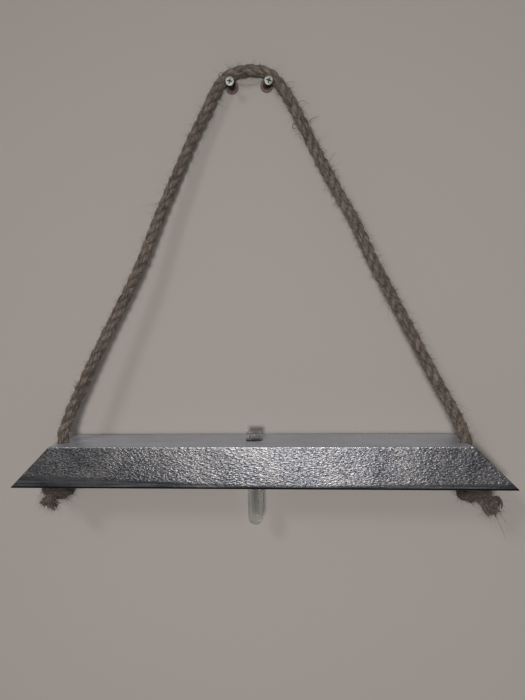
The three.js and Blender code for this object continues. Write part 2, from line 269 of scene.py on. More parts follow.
def capped_tubes(rings, along=None):
    """Points, faces and corner UVs of many closed tubes of the same make.

    rings holds tube, ring, column and coordinate. Each tube gets a pole at the middle of its first and of its
    last ring, and along gives the second UV value of each ring.
    """
    tubes, count, columns, _ = rings.shape
    size = count * columns + 2
    poles = np.stack([rings[:, 0].mean(axis=1), rings[:, -1].mean(axis=1)], axis=1)
    points = np.concatenate([rings.reshape(tubes, -1, 3), poles], axis=1).reshape(-1, 3)
    along = np.linspace(0, 1, count) if along is None else along
    offset = (np.arange(tubes) * size)[:, None, None]
    quads = (ring_faces(count, columns)[None] + offset).reshape(-1, 4)
    first = fan_faces(count * columns, 0, columns, False)
    last = fan_faces(count * columns + 1, (count - 1) * columns, columns, True)
    triangles = (np.concatenate([first, last])[None] + offset).reshape(-1, 3)
    quad_uv = np.tile(ring_uv(count, columns, along), (tubes, 1, 1))
    column = np.arange(columns) / columns
    fan = np.stack([column, column, column], axis=-1)
    fan_uv = np.concatenate([np.stack([fan, np.full_like(fan, along[end])], axis=-1) for end in (0, -1)])
    return points, [quads, triangles], [quad_uv, np.tile(fan_uv, (tubes, 1, 1))]


def turned(profile, columns):
    """Rings of a turned shape: each pair of radius and height in the profile carried round an upright axis.

    Where the profile runs upwards on the outside, the faces look outwards.
    """
    angle = np.arange(columns) / columns * 2 * np.pi
    round_x, round_y = np.cos(angle), np.sin(angle)
    radius, height = profile[:, 0:1], profile[:, 1:2]
    return np.stack([radius * round_x, radius * round_y, height + 0 * round_x], axis=-1)


def arc(centre, radii, start, end, count):
    """Points of an ellipse's arc from one angle to another, in degrees, as radius and height."""
    angle = np.radians(np.linspace(start, end, count))
    return np.stack([centre[0] + radii[0] * np.cos(angle), centre[1] + radii[1] * np.sin(angle)], axis=1)


def sampled(profile, step):
    """A profile with more points on its long straight parts, at most one step apart."""
    profile = np.array(profile, dtype=float)
    pieces = []
    for start, end in zip(profile[:-1], profile[1:]):
        count = max(int(np.ceil(np.linalg.norm(end - start) / step)), 1)
        pieces.append(start + (end - start) * np.linspace(0, 1, count, endpoint=False)[:, None])
    return np.vstack([*pieces, profile[-1:]])


def make_mesh(name, points, faces, uv=None, smooth=True):
    """An object from arrays: points, and lists of faces with three or four corners."""
    mesh = bpy.data.meshes.new(name)
    corners = np.concatenate([part.ravel() for part in faces]).astype(np.int32)
    sizes = np.concatenate([np.full(len(part), part.shape[1]) for part in faces])
    starts = np.concatenate([[0], np.cumsum(sizes)[:-1]]).astype(np.int32)
    mesh.vertices.add(len(points))
    mesh.vertices.foreach_set("co", np.ascontiguousarray(points, dtype=np.float32).ravel())
    mesh.loops.add(len(corners))
    mesh.loops.foreach_set("vertex_index", corners)
    mesh.polygons.add(len(sizes))
    mesh.polygons.foreach_set("loop_start", starts)
    mesh.polygons.foreach_set("use_smooth", np.full(len(sizes), smooth))
    if uv is not None:
        layer = mesh.uv_layers.new(name="surface")
        flat = np.concatenate([part.reshape(-1, 2) for part in uv]).astype(np.float32)
        layer.data.foreach_set("uv", flat.ravel())
    mesh.update(calc_edges=True)
    mesh.validate()
    piece = bpy.data.objects.new(name, mesh)
    bpy.context.scene.collection.objects.link(piece)
    return piece


def mark(piece, name, values):
    """Stores a number at each point of a piece of capped_tubes, given tube by tube and ring by ring."""
    flat = values.reshape(len(values), -1)
    layer = piece.data.attributes.new(name, "FLOAT", "POINT")
    layer.data.foreach_set("value", np.hstack([flat, flat[:, :1], flat[:, -1:]]).astype(np.float32).ravel())


def dress(piece, finish, body, slot, *nodes):
    """Gives a finished piece its material and its body, and hides the solids it stands for; the slot is not
    used.
    """
    piece.data.materials.clear()
    piece.data.materials.append(finish)
    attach(piece, body)
    if nodes:
        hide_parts(*nodes)


def bore(piece, cutters):
    """Cuts each closed cutter out of a piece, and keeps the result as the piece's own mesh."""
    for cutter in cutters:
        hole = piece.modifiers.new("hole", "BOOLEAN")
        hole.operation = "DIFFERENCE"
        hole.solver = "EXACT"
        hole.object = cutter
    bpy.context.view_layer.update()
    cut = bpy.data.meshes.new_from_object(piece.evaluated_get(bpy.context.evaluated_depsgraph_get()))
    piece.modifiers.clear()
    old = piece.data
    piece.data = cut
    bpy.data.meshes.remove(old)
    for cutter in cutters:
        bpy.data.objects.remove(cutter)
    cut.set_sharp_from_angle(angle=math.radians(38))


# Materials


class Wire:
    """What comes out of a shader node. Sums on wires and numbers add Math nodes."""

    def __init__(self, finish, socket):
        self.finish = finish
        self.socket = socket

    def maths(self, operation, first, second):
        """The result of a Math node on two wires or numbers."""
        return self.finish.node("ShaderNodeMath", {"operation": operation}, {0: first, 1: second})

    def __add__(self, other):
        return self.maths("ADD", self, other)

    __radd__ = __add__

    def __mul__(self, other):
        return self.maths("MULTIPLY", self, other)

    __rmul__ = __mul__

    def __sub__(self, other):
        return self.maths("SUBTRACT", self, other)

    def __rsub__(self, other):
        return self.maths("SUBTRACT", other, self)

    def out(self, name):
        """Another output of the same node."""
        return Wire(self.finish, self.socket.node.outputs[name])


class Finish:
    """A material built from nodes."""

    def __init__(self, name):
        self.material = bpy.data.materials.new(name)
        self.material.use_nodes = True
        self.tree = self.material.node_tree
        self.tree.nodes.clear()

    def node(self, kind, settings=None, inputs=None, output=0):
        """Adds a node, sets it up, feeds its inputs with wires or plain values, and gives one output."""
        node = self.tree.nodes.new(kind)
        for name, value in (settings or {}).items():
            setattr(node, name, value)
        for name, value in (inputs or {}).items():
            socket = node.inputs[name]
            if isinstance(value, Wire):
                self.tree.links.new(value.socket, socket)
            elif socket.type == "RGBA" and len(value) == 3:
                socket.default_value = (*value, 1)
            else:
                socket.default_value = value
        return Wire(self, node.outputs[output])

    def place(self, scale=(1, 1, 1)):
        """Object coordinates, stretched."""
        raw = self.node("ShaderNodeTexCoord", output="Object")
        return self.node("ShaderNodeMapping", None, {"Vector": raw, "Scale": scale})

    def axes(self):
        """A point's place along X, Y and Z, in metres."""
        raw = self.node("ShaderNodeTexCoord", output="Object")
        split = self.node("ShaderNodeSeparateXYZ", None, {0: raw})
        return split.out("X"), split.out("Y"), split.out("Z")

    def around(self, scale):
        """The piece's own UV, stretched."""
        raw = self.node("ShaderNodeUVMap", {"uv_map": "surface"})
        return self.node("ShaderNodeMapping", None, {"Vector": raw, "Scale": scale})

    def marked(self, name):
        """The number that mark() stored under a name."""
        return self.node("ShaderNodeAttribute", {"attribute_name": name}, output="Fac")

    def noise(self, where, scale, detail=3.0, roughness=0.55, distortion=0.0):
        """Cloudy values from 0 to 1."""
        form = {"Scale": scale, "Detail": detail, "Roughness": roughness, "Distortion": distortion}
        return self.node("ShaderNodeTexNoise", None, {"Vector": where, **form})

    def span(self, wire, low, high, to_low=0.0, to_high=1.0):
        """Stretches the values between low and high, and holds what lies outside."""
        values = {0: wire, 1: low, 2: high, 3: to_low, 4: to_high}
        return self.node("ShaderNodeMapRange", {"clamp": True}, values)

    def blend(self, share, first, second):
        """A colour between two colours."""
        return self.node("ShaderNodeMix", {"data_type": "RGBA"}, {0: share, 6: first, 7: second}, 2)

    def bump(self, height, distance, strength):
        """A surface normal from a height."""
        values = {"Height": height, "Distance": distance, "Strength": strength}
        return self.node("ShaderNodeBump", None, values)

    def surface(self, **values):
        """Ends the material with a Principled shader. Names are its sockets, with _ for a space."""
        inputs = {name.replace("_", " "): value for name, value in values.items()}
        return self.end(self.node("ShaderNodeBsdfPrincipled", None, inputs))

    def end(self, shader):
        """Feeds a shader to the material's output."""
        target = self.tree.nodes.new("ShaderNodeOutputMaterial")
        self.tree.links.new(shader.socket, target.inputs["Surface"])
        return self.material


def shade(colour, share):
    """A colour with only a share of its light."""
    return tuple(value * share for value in colour)


def jute_finish(name, settings, fibres_across=26.0):
    """Jute: fine fibres and broader yarns along the strands, painted paler on their crowns and with painted
    shade between them.
    """
    finish = Finish(name)
    fibre = finish.noise(finish.around((fibres_across, 3.2, 1)), 1.6, 4.0, 0.65)
    yarn = finish.noise(finish.around((fibres_across * 0.36, 2.6, 1)), 1.4, 2.0, 0.5)
    patch = finish.noise(finish.place(), 60.0, 2.0)
    speck = finish.noise(finish.place(), 620.0, 3.0, 0.7)
    share = finish.span(fibre * 0.4 + yarn * 0.65 + patch * 0.2 + speck * 0.55, 0.76, 1.04)
    # Painted light and shade: the crown mark makes the rope's crowns paler and its grooves and knots darker;
    # on the frayed ends it is a random tone per yarn
    crown = finish.marked("crown") * 0.4 + 0.5
    return finish.surface(
        Base_Color=finish.blend(share * crown, settings.dark_fibre, settings.light_fibre),
        Roughness=0.93,
        Specular_IOR_Level=0.15,
        Sheen_Weight=0.12,
        Normal=finish.bump(fibre * 0.7 + yarn * 0.5 + speck * 0.4, 0.0006, 0.8),
    )


def fibre_finish(settings):
    """Single fibres, each from dark to bleached by its own tone."""
    finish = Finish("jute_fibre")
    tone = finish.marked("tone")
    patch = finish.noise(finish.place(), 300.0, 2.0)
    share = finish.span(tone + patch * 0.4 - 0.2, 0.0, 0.6)
    jute = finish.blend(share, settings.dark_fibre, settings.light_fibre)
    colour = finish.blend(finish.span(tone, 0.6, 1.0), jute, settings.pale_hair)
    return finish.surface(Base_Color=colour, Roughness=0.75, Specular_IOR_Level=0.25)


def paint_finish(settings):
    """Metallic grey paint over sawn timber.

    The front carries small broken ridges that run along the beam and catch the light. Its colour is painted
    darker in the bump's hollows and paler on its crests, as painted shade and highlight. The top and the foot
    of the front are smoother; the top is painted paler with a painted sheen, the top front arris carries a
    painted highlight, and the bottom arris is painted dark as painted shade.
    """
    finish = Finish("beam_paint")
    along, away, up = finish.axes()
    slant = finish.noise(finish.place((1.0, 0.0, 0.4)), 16.0, 1.0) * 0.022
    wavy = finish.node("ShaderNodeCombineXYZ", None, {0: along * 0.42, 1: away, 2: up + slant})
    ridge = finish.noise(wavy, 800.0, 1.5, 0.5, 0.3)
    fine = finish.noise(finish.place((0.5, 1.0, 1.0)), 1250.0, 2.0, 0.6, 0.2)
    grain = finish.noise(finish.place((0.05, 1.0, 1.0)), 420.0, 2.0, 0.5)
    cloud = finish.noise(finish.place(), 30.0, 3.0)
    foot, top, front = float(BEAM_LOW[2]), float(BEAM_HIGH[2]), float(BEAM_LOW[1])
    left_strip = finish.span(along, -0.21, 0.0, 0.0095, 0.0006)
    right_strip = finish.span(along, 0.08, 0.2, 0.0, 0.0022)
    strip = left_strip + right_strip + cloud * 0.002
    face = finish.span(up - strip - foot, 0.0, 0.003) * finish.span(up, top + 0.0001, top - 0.0006)
    height = (ridge * 0.8 + fine * 0.3) * (face * 0.88 + 0.12) + grain * (0.2 - face * 0.12)
    # Painted shade and highlight: the colour follows the bump's own noise, darker in its hollows and paler on
    # its crests
    broken = (ridge * 0.6 + fine * 0.4) * face + (grain * 0.7 + fine * 0.2) * (1 - face)
    share = finish.span(broken + cloud * 0.3 - face * 0.05, 0.48, 0.74) * (face * 0.4 + 0.6)
    colour = finish.blend(share, settings.shaded_hollow_paint, settings.paint)
    # Painted shade: the bottom front arris is darkened
    colour = finish.blend(finish.span(up, foot + 0.0026, foot + 0.0018), colour, settings.bottom_arris_shade)
    # Painted light: the top face is painted paler, with patches of painted sheen
    above = finish.span(up, top - 0.0004, top - 0.0001)
    top_sheen_share = finish.span(grain * 0.5 + cloud * 0.5, 0.35, 0.65)
    painted_top_sheen = finish.blend(top_sheen_share, shade(settings.lit_top_paint, 0.74), settings.lit_top_paint)
    colour = finish.blend(above, colour, painted_top_sheen)
    # Painted highlight: a ragged pale line along the top front arris, broken by the ridge noise; the worn
    # share is this highlight
    edge = finish.span(up, top - 0.0013, top - 0.0008) * finish.span(away, front + 0.0026, front + 0.0014)
    worn = edge * finish.span(ridge * 0.7 + fine * 0.3, 0.3, 0.62)
    return finish.surface(
        Base_Color=finish.blend(worn, colour, settings.edge_highlight_paint),
        Metallic=0.8 - above * 0.45,
        Roughness=finish.span(cloud * 0.4 + fine * 0.6, 0.3, 0.7, 0.28, 0.37),
        Normal=finish.bump(height, 0.0008, 0.82),
    )


def glass_finish(settings):
    """Clear laboratory glass, with painted shade darkening its colour where it is looked through edge on."""
    finish = Finish("tube_glass")
    film = finish.noise(finish.place((1, 1, 0.2)), 240.0, 2.0)
    # Painted shade: the glass colour darkens towards the outline, seen edge on
    edge = finish.node("ShaderNodeLayerWeight", None, {"Blend": 0.5}, "Facing")
    return finish.surface(
        Base_Color=finish.blend(finish.span(edge, 0.5, 0.9), settings.glass, shade(settings.glass, 0.3)),
        Roughness=finish.span(film, 0.45, 0.8, 0.0, 0.05),
        IOR=1.47,
        Transmission_Weight=1.0,
        Alpha=0.62,
    )


def zinc_finish(settings):
    """Zinc plate, cloudy from handling, with fine turning marks, and painted shade darkening it behind the
    head.
    """
    finish = Finish("screw_zinc")
    cloud = finish.noise(finish.place(), 700.0, 3.0)
    marks = finish.noise(finish.place((1, 6, 1)), 1600.0, 2.0)
    _, away, _ = finish.axes()
    # Painted shade: everything behind the head's face is painted much darker
    behind = finish.span(away, SCREW_FACE + 0.0008, SCREW_FACE + 0.0018)
    plate = finish.blend(finish.span(cloud, 0.35, 0.65), shade(settings.zinc, 0.6), settings.zinc)
    return finish.surface(
        Base_Color=finish.blend(behind, plate, shade(settings.zinc, 0.16)),
        Metallic=0.85,
        Roughness=finish.span(cloud, 0.3, 0.7, 0.42, 0.58),
        Normal=finish.bump(marks, 0.00008, 0.5),
    )


def plastic_finish(settings):
    """Moulded brown plastic with a fine grain."""
    finish = Finish("plug_plastic")
    grain = finish.noise(finish.place(), 1500.0, 3.0)
    patch = finish.noise(finish.place(), 220.0, 2.0)
    worn = finish.span(patch, 0.3, 0.7)
    return finish.surface(
        Base_Color=finish.blend(worn, shade(settings.plastic, 0.72), settings.plastic),
        Roughness=finish.span(grain, 0.3, 0.7, 0.5, 0.66),
        Normal=finish.bump(grain, 0.00006, 0.6),
    )


# The rope's routes, in millimetres

ROPE_RUN = [
    (-198.5, -46, -400), (-198.5, -46, -386), (-198.5, -46, -379), (-198.2, -45.6, -371.5),
    (-194.2, -44, -358), (-175.6, -39.8, -315), (-155, -35.6, -272), (-134.5, -31.6, -231.4),
    (-114.6, -27.5, -189), (-98.2, -23.3, -146.3), (-80, -19.1, -103.3), (-61.2, -15, -60.2),
    (-44.5, -12.3, -27), (-38.7, -11.4, -14), (-33.3, -10.8, -4.9), (-28.6, -10.5, 1.4),
    (-23.8, -10.5, 5.8), (-18, -10.5, 9), (-11.2, -10.5, 11.2), (-3, -10.5, 12.4), (6, -10.5, 12.4),
    (13.2, -10.5, 11.2), (19.6, -10.5, 8.8), (25.4, -10.5, 5), (30.4, -10.5, -0.2),
    (35.1, -10.8, -6.6), (42.6, -11.7, -19), (52.3, -13.6, -38.5), (75.3, -18.4, -88.7),
    (97.2, -22.5, -132.3), (108.4, -24.5, -153.8), (126.6, -28.6, -196.2), (156.6, -34.5, -258.5),
    (185.8, -40.2, -319.2), (205.4, -44, -358), (210.8, -45.5, -371.5), (212.8, -46, -379),
    (213, -46, -386), (213, -46, -400),
]
# One knot, from the underside of the beam to where its rope comes out, with X towards the beam's end
KNOT = [
    (0, 0, -4.7), (0, 0, -9), (2.5, 2.4, -13.9), (7.8, 6, -15.4), (14.2, 6.4, -14.2),
    (19.1, 3.3, -11.2), (20.2, -2.2, -7.5), (16.7, -7.5, -5.4), (10.7, -10, -4.9), (3.8, -10.2, -5.4),
    (-3.1, -9.3, -5.8), (-8.4, -4.9, -6), (-9.5, 2, -5.9), (-5.6, 7.8, -5.6), (1, 9.6, -5.1),
    (6.8, 6.8, -5.1), (9.8, 1.6, -6.8), (11, -2.4, -11.2),
]
KNOT_ENDS = {"left": (12.5, -5, -15.5), "right": (15, -5, -16)}
# How much of its width a knot's inner side keeps, and how much lower that side hangs
KNOT_DRAW = {"left": (0.63, 1.42), "right": (0.47, 1.7)}
# The three strands of each frayed end, from the knot's last point, with X towards the beam's end
FRAYED = {
    "left": [
        [(1.9, 0, 0.66), (2.5, -1, -1), (4.6, -1.6, -2.2), (7.2, -1.6, -2.8), (9.2, -1.4, -3.9)],
        [(-0.3, 1.8, -1.19), (0.3, 0.8, -2.83), (0.2, 0.6, -5.6), (-0.5, 0.8, -9), (-1.2, 0.6, -12)],
        [
            (-1.8, -0.9, -0.08), (-1.2, -1.9, -1.72), (-2.9, -2.6, -3.6),
            (-5.9, -2.8, -5.6), (-9.2, -2.8, -7.5),
        ],
    ],
    "right": [
        [
            (1.6, -0.2, 1.44), (2.8, -1, 0), (4.4, -2, -0.6), (6.4, -3, 0.8),
            (8.6, -3.2, 2.9), (10.6, -3.1, 2.4), (11.2, -2.9, 0), (10.6, -2.4, -3.6), (9.6, -2, -7),
        ],
        [
            (-0.3, 1.75, -1.2), (0.9, 1, -2.6), (3.8, 0.8, -4.8),
            (6.8, 0.8, -7.4), (10.2, 0.8, -10), (12.2, 0.6, -13.4),
        ],
        [(-1.5, -1.5, -0.44), (-0.3, -2.3, -1.9), (1.2, -2.9, -4.8), (4, -3.1, -8.4), (7.4, -3.2, -13.2)],
    ],
}
# Single long fibres that stand well clear of the rope, with their thickness
STRAYS = [
    (0.53, [
        (-31.8, -13, -1), (-32.4, -13, 5.5), (-31.3, -13, 8.7),
        (-29, -13, 10.5), (-26.7, -12.5, 10.1), (-25, -12, 7),
    ]),
    (0.42, [(-30.5, -15, 4.5), (-30.3, -16, 8), (-28.2, -16, 9.2), (-26.4, -16, 7.2), (-27.5, -15, 5)]),
    (0.60, [
        (53.5, -17, -49.6), (49.7, -17.5, -49.2), (47.3, -18, -49.7), (46.3, -18, -51.9),
        (47.5, -18, -54.3), (49.8, -17.5, -54), (54, -17, -50.5),
    ]),
    (0.46, [(56, -19, -66), (54.2, -20, -64.3), (52.4, -21, -61.1), (50.5, -21, -61.2), (49, -21, -63.7)]),
    (0.53, [
        (60, -16, -49.5), (62.4, -17, -48.1), (64.5, -18, -47.6),
        (66.8, -18, -45.5), (70.2, -18, -44), (73.7, -18, -42.7),
    ]),
    (0.35, [
        (79, -22, -88), (84.2, -23, -91), (85.9, -23, -89.5),
        (87.1, -23, -86.7), (89, -23, -84.3), (91.1, -23, -83.4),
    ]),
    (0.46, [(85, -24, -106), (87.8, -25, -104.7), (89.9, -25, -102.7), (92.8, -25, -100.8)]),
    (0.49, [(94, -27, -132), (91.6, -28, -134), (89.1, -28, -136.1), (86.4, -28, -137.9)]),
    (0.46, [(88, -26, -122), (85.2, -27, -122), (82.8, -27, -122.7), (80.5, -27, -122.4)]),
    (0.28, [
        (-17, -13, 5), (-13, -10, 1.8), (-10, -8, -0.1), (-6.1, -8, -0.9),
        (0.4, -8, -1.3), (5.8, -8, -1.2), (9.7, -8, -0.3), (14, -9, 4),
    ]),
    (0.32, [(34, -11, -3), (38.8, -11, -3.6), (42.4, -11, -2.5), (46, -11, -2.1), (49.8, -11, -1.9)]),
    (0.35, [
        (49, -14, -33), (51.2, -15, -29.6), (53.3, -16, -26.4),
        (56.7, -16, -25), (60.5, -16, -25.7), (64.6, -16, -29.3),
    ]),
    (0.28, [
        (229, -52, -436), (233.6, -53, -443.1), (238.7, -54, -452.9),
        (242.9, -54, -461.6), (246.2, -54, -470.4), (247.6, -54, -475.5),
    ]),
    (0.32, [
        (231, -52, -438), (236.4, -53, -443.1), (241.1, -54, -447.9),
        (245.3, -54, -453.3), (247.6, -54, -457.5),
    ]),
]
SIDES = {"left": (LEFT_HOLE, -1.0), "right": (RIGHT_HOLE, 1.0)}


def beside(place, side, points):
    """Points of a table, turned towards that end of the beam and moved to a place."""
    outward = SIDES[side][1]
    return place + np.array(points, dtype=float) * MM * np.array([outward, 1.0, 1.0])


def knot_points(side):
    """The route of one knot, drawn tight: its turns lie closer to each other, and sag on the inner side."""
    points = np.array([*KNOT, KNOT_ENDS[side]], dtype=float)
    inner = smooth_step((2.0 - points[:, 0]) / 8.0)
    narrow, sag = KNOT_DRAW[side]
    drawn = 0.9 + (narrow - 0.9) * inner
    drawn[-3:] = (0.95, 1.0, 1.0)
    inner[:2] = 0.0
    lower = 1.0 + (sag - 1.0) * inner
    return beside(SIDES[side][0], side, points * np.stack([drawn, np.ones(len(points)), lower], axis=1))


# Rope


class RopeShape:
    """The whole rope: its route, and where each strand lies.

    A strand's middle winds round the route once a pitch. The rope is squeezed in its knots, and swells again
    where it leaves them and at its cut ends.
    """

    def __init__(self, settings):
        points = np.vstack([knot_points("left")[::-1], np.array(ROPE_RUN) * MM, knot_points("right")])
        self.route, self.stations = smooth_route(points, settings.ring_step)
        self.pitch = settings.pitch
        core_share, strand_share = 0.208, 0.286
        self.core = settings.diameter * core_share
        self.strand_radius = settings.diameter * strand_share
        knot, release, fray = 0.112, 0.014, 0.008
        from_end = np.minimum(self.stations, self.stations[-1] - self.stations)
        loose = smooth_step((from_end - knot) / release) + 0.8 * np.exp(-from_end / fray)
        self.scale = settings.squeeze + (1 - settings.squeeze) * np.clip(loose, 0, 1)
        self.tight = (1 - self.scale) / (1 - self.scale.min())
        _, first, second = steady_frames(self.route)
        turn = 2 * np.pi * self.stations / self.pitch
        angle = turn[None] + (np.arange(3) * 2 * np.pi / 3)[:, None]
        radial = np.cos(angle)[..., None] * first + np.sin(angle)[..., None] * second
        self.centres = self.route + self.core * self.scale[:, None] * radial
        self.along = unit(np.gradient(self.centres, axis=1))
        self.out = unit(radial - (radial * self.along).sum(axis=-1, keepdims=True) * self.along)
        self.across = np.cross(self.along, self.out)

    def surface(self, strand, station, angle, lift):
        """Points on the strands, their outward directions, and the strands' own directions there."""
        out, across = self.out[strand, station], self.across[strand, station]
        facing = np.cos(angle)[..., None] * out + np.sin(angle)[..., None] * across
        radius = (self.strand_radius * self.scale[station] + lift)[..., None]
        return self.centres[strand, station] + radius * facing, facing, self.along[strand, station]


def rope_rings(shape, yarns):
    """Rings of the three strands, and how clear of its neighbours each point is.

    A strand's section is a circle, flatter towards the rope's middle, with one low crown for each yarn. The
    yarns wind the other way, so that they lie along the rope where they are seen. A point is clear by 1 on
    the rope's outside and by 0 in the groove beside its strand, and by less in a tight knot. This share
    paints light into the jute: paler on the crowns, with painted shade in the grooves and knots.
    """
    section = [-1.0, 0.35, 0.75, 0.35]
    crown_height, flattening, unevenness = 0.05, 0.09, 0.06
    columns = yarns * len(section)
    own = np.arange(columns) / columns * 2 * np.pi
    yarn_slant = 0.886
    untwist = 2 * np.pi / shape.pitch * (shape.core + shape.strand_radius) / shape.strand_radius / yarn_slant
    angle = own[None, None] - (untwist * shape.stations)[None, :, None]
    crown = np.tile(np.array(section), yarns) * crown_height
    flat = 1 - flattening * smooth_step((-np.cos(angle) - 0.1) / 1.1)
    place = np.broadcast_to(shape.route, (3, *shape.route.shape))[:, :, None] + 0 * angle[..., None]
    uneven = lattice_noise(place + own[None, None, :, None] * 0.004, 0.006, 3) * unevenness
    radius = shape.strand_radius * shape.scale[None, :, None] * (flat + crown + uneven)
    outward = np.cos(angle)[..., None] * shape.out[:, :, None]
    facing = outward + np.sin(angle)[..., None] * shape.across[:, :, None]
    tight = shape.tight[None, :, None]
    # Painted shade: the colour share falls in the grooves beside each strand and in tight knots
    clear = smooth_step((np.cos(angle) - 0.25) / 0.72) * (1 - tight) - 0.85 * tight
    return shape.centres[:, :, None] + radius[..., None] * facing, clear + np.zeros((3, 1, 1))


def hair_rings(roots, directions, lengths, bends, radii, rings):
    """Rings of many tapering three-sided hairs.

    A hair leaves its root along its direction and bends aside with the square of the way, and its thickness
    falls evenly towards the tip.
    """
    way = np.linspace(0, 1, rings)[None, :, None]
    run = lengths[:, None, None]
    middle = roots[:, None] + directions[:, None] * way * run + bends[:, None] * way**2 * run
    tangent = unit(directions[:, None] + 2 * bends[:, None] * way)
    guide = np.where(np.abs(tangent[..., 2:3]) < 0.8, [[[0.0, 0.0, 1.0]]], [[[1.0, 0.0, 0.0]]])
    first = unit(np.cross(tangent, guide[:, :1] + 0 * tangent))
    second = np.cross(tangent, first)
    angle = (np.arange(3) / 3 * 2 * np.pi)[None, None, :, None]
    radius = (radii[:, None] * (1 - 0.85 * way[..., 0]))[:, :, None, None]
    facing = np.cos(angle) * first[:, :, None] + np.sin(angle) * second[:, :, None]
    return middle[:, :, None] + radius * facing


def fibre_piece(name, rings, tones):
    """A piece of many single fibres, each with its own tone."""
    points, faces, uv = capped_tubes(rings)
    fibres = make_mesh(name, points, faces, uv)
    mark(fibres, "tone", np.broadcast_to(tones[:, None, None], rings.shape[:3]))
    return fibres


def tube_rings(route, frames, radii, columns):
    """Rings of one round tube carried along a route, with a radius at each station."""
    _, first, second = frames
    angle = np.arange(columns) / columns * 2 * np.pi
    facing = np.cos(angle)[None, :, None] * first[:, None] + np.sin(angle)[None, :, None] * second[:, None]
    return route[:, None] + radii[:, None, None] * facing


def open_place(roots):
    """Whether a fibre may stand at a root: not in a hole of the beam, by a screw, or towards a wall plug."""
    aside, back, up = np.abs(roots[:, 0]), roots[:, 1], roots[:, 2]
    beam_middle, beam_reach, beam_front = -0.401, 0.0225, -0.0705
    in_hole = (np.abs(up - beam_middle) < beam_reach) & (back > beam_front)
    screw_level, screw_room = 0.0015, 0.0092
    by_screw = np.hypot(aside - SCREW_X, up - screw_level) < screw_room
    plug_side, plug_foot, plug_front = 0.036, -0.03, -0.0085
    by_plug = (aside < plug_side) & (up > plug_foot) & (back > plug_front)
    return ~(in_hole | by_screw | by_plug)


def rope_hairs(shape, count):
    """Stray fibres all along the rope: most are fine and pale, and one in four is thicker and darker."""
    rng = np.random.default_rng(11)
    strand = rng.integers(0, 3, count)
    station = rng.integers(8, len(shape.stations) - 8, count)
    angle = rng.normal(0, 0.85, count)
    roots, outward, along = shape.surface(strand, station, angle, -0.0003)
    stout = rng.random(count) < 0.27
    forward = np.where(rng.random(count) < 0.66, 1.0, -1.0)[:, None]
    stray = rng.normal(0, 0.45, (count, 3))
    lift = rng.uniform(0.35, 1.15, (count, 1))
    directions = unit(outward * lift + along * forward * rng.uniform(0.3, 1.4, (count, 1)) + stray)
    lengths = np.clip(rng.lognormal(math.log(0.0038), 0.5, count), 0.0018, 0.0098)
    bends = rng.normal(0, 0.6, (count, 3)) - np.array([0, 0, 0.1])
    radii = np.where(stout, rng.uniform(0.00012, 0.0002, count), rng.uniform(0.00006, 0.00011, count))
    tones = np.where(stout, rng.uniform(0.0, 0.5, count), rng.uniform(0.35, 1.0, count))
    # Painted shade: hairs in the tight knots are made darker
    tones *= 1 - 0.6 * shape.tight[station]
    kept = open_place(roots)
    rings = hair_rings(roots, directions, lengths, bends, radii, 5)
    return fibre_piece("rope_fibres", rings[kept], tones[kept])


def rope_fuzz(shape, count):
    """Short fibre ends that blur the rope.

    Two in five lie across the strands and cover the grooves. The others stand up from a strand and curl.
    """
    rng = np.random.default_rng(12)
    strand = rng.integers(0, 3, count)
    station = rng.integers(8, len(shape.stations) - 8, count)
    laid = rng.random(count) < 0.4
    angle = rng.normal(0, 0.9, count)
    roots, outward, along = shape.surface(strand, station, angle, np.where(laid, 0.0, -0.0002))
    flat = laid[:, None]
    lean = np.where(flat, rng.choice([-1.0, 1.0], (count, 1)), rng.normal(0, 0.4, (count, 1)))
    sideways = np.cross(outward, along) * lean
    way = outward * np.where(flat, 0.22, 1.0) + sideways + along * rng.normal(0, 0.8, (count, 1))
    directions = unit(way + rng.normal(0, 0.2, (count, 3)))
    lengths = np.where(laid, rng.uniform(0.0028, 0.0055, count), rng.uniform(0.0016, 0.0052, count))
    bends = rng.normal(0, 0.6, (count, 3)) - outward * np.where(flat, 0.7, 0.2)
    radii = rng.uniform(0.00012, 0.00022, count)
    # Painted shade: fuzz in the tight knots is made darker
    tones = rng.uniform(0.0, 0.72, count) * (1 - 0.6 * shape.tight[station])
    kept = open_place(roots)
    rings = hair_rings(roots, directions, lengths, bends, radii, 4)
    return fibre_piece("rope_fuzz", rings[kept], tones[kept])


def stray_fibres():
    """The long single fibres, each a thin tube along its own route that tapers to its tip."""
    steps = 26
    share = np.linspace(0, 1, steps + 1)
    tubes = []
    for thickness, points in STRAYS:
        coarse, stations = smooth_route(np.array(points, dtype=float) * MM, 0.0003)
        route = smooth_route(coarse, stations[-1] / steps)[0][: steps + 1]
        radii = thickness * MM / 2 * (1 - 0.5 * share**3)
        tubes.append(tube_rings(route, steady_frames(route), radii, 6))
    return fibre_piece("long_fibres", np.stack(tubes), np.full(len(tubes), 0.12))


def strand_order(ends, tables):
    """Which table each strand's end goes on with, so that the steps across are shortest in all."""
    gaps = np.array([[np.linalg.norm(place - table[1]) for table in tables] for place in ends])
    return min(itertools.permutations(range(3)), key=lambda pick: gaps[[0, 1, 2], list(pick)].sum())


# The loose yarns of one strand, the rings of points along each, and the fibres that leave each
OUTER_YARNS, INNER_YARNS = 9, 4
YARN_RINGS, YARN_FIBRES = 31, 22


